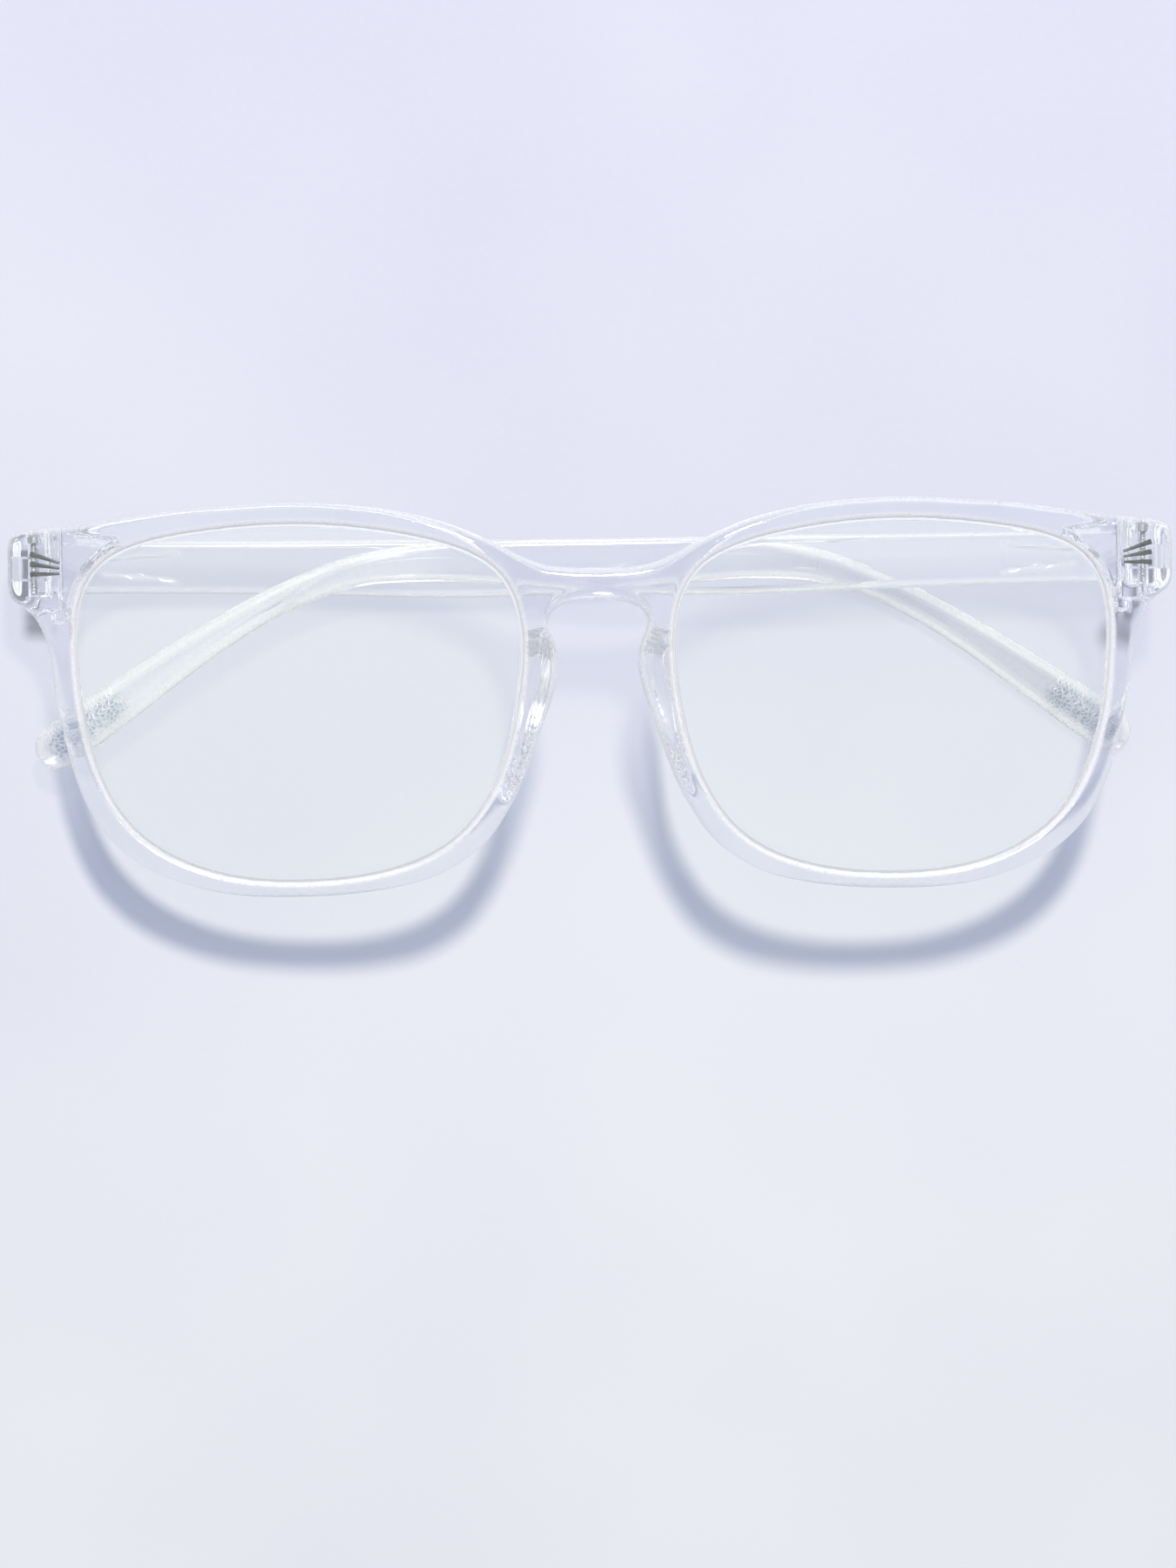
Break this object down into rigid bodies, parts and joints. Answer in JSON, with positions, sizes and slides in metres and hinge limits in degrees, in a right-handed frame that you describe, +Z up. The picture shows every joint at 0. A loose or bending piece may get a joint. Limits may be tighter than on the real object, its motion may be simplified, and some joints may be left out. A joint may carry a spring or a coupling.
{
  "type": "eyeglasses",
  "caption": "Full-rim square eyeglasses with a clear moulded frame, moulded nose pads and tapered metal inlays, folded with the lenses up.",
  "frame": {"origin": "on the surface the folded glasses lie on, under the middle of their bounding box", "axes": "+X towards the wearer's left endpiece, +Y towards the top of the front, +Z up, the way the lenses face"},
  "size_m": [0.1424, 0.0476, 0.0203],
  "materials": {
    "clear_plastic": "clear moulded plastic, polished",
    "lens_plastic": "clear lens plastic, polished and coated",
    "trim_metal": "dark satin metal",
    "screw_metal": "bare steel"
  },
  "bodies": {
    "temple_right": {"temple_right": "clear_plastic"},
    "front": {"front_frame": "clear_plastic", "lens_left": "lens_plastic", "lens_right": "lens_plastic", "hinge_screw_left": "screw_metal", "hinge_screw_right": "screw_metal", "trim_bar_left_1": "trim_metal", "trim_bar_left_2": "trim_metal", "trim_bar_left_3": "trim_metal", "trim_bar_right_1": "trim_metal", "trim_bar_right_2": "trim_metal", "trim_bar_right_3": "trim_metal"},
    "temple_left": {"temple_left": "clear_plastic"}
  },
  "joints": [
    {"name": "hinge_right", "type": "hinge", "parent": "temple_right", "child": "front", "pos_m": [-0.06763, 0.0163, 0.0032], "axis": [0, -1, 0], "range_deg": [0, 93]},
    {"name": "hinge_left", "type": "hinge", "parent": "front", "child": "temple_left", "pos_m": [0.06791, 0.0163, 0.0075], "axis": [0, -1, 0], "range_deg": [0, 97]}
  ]
}
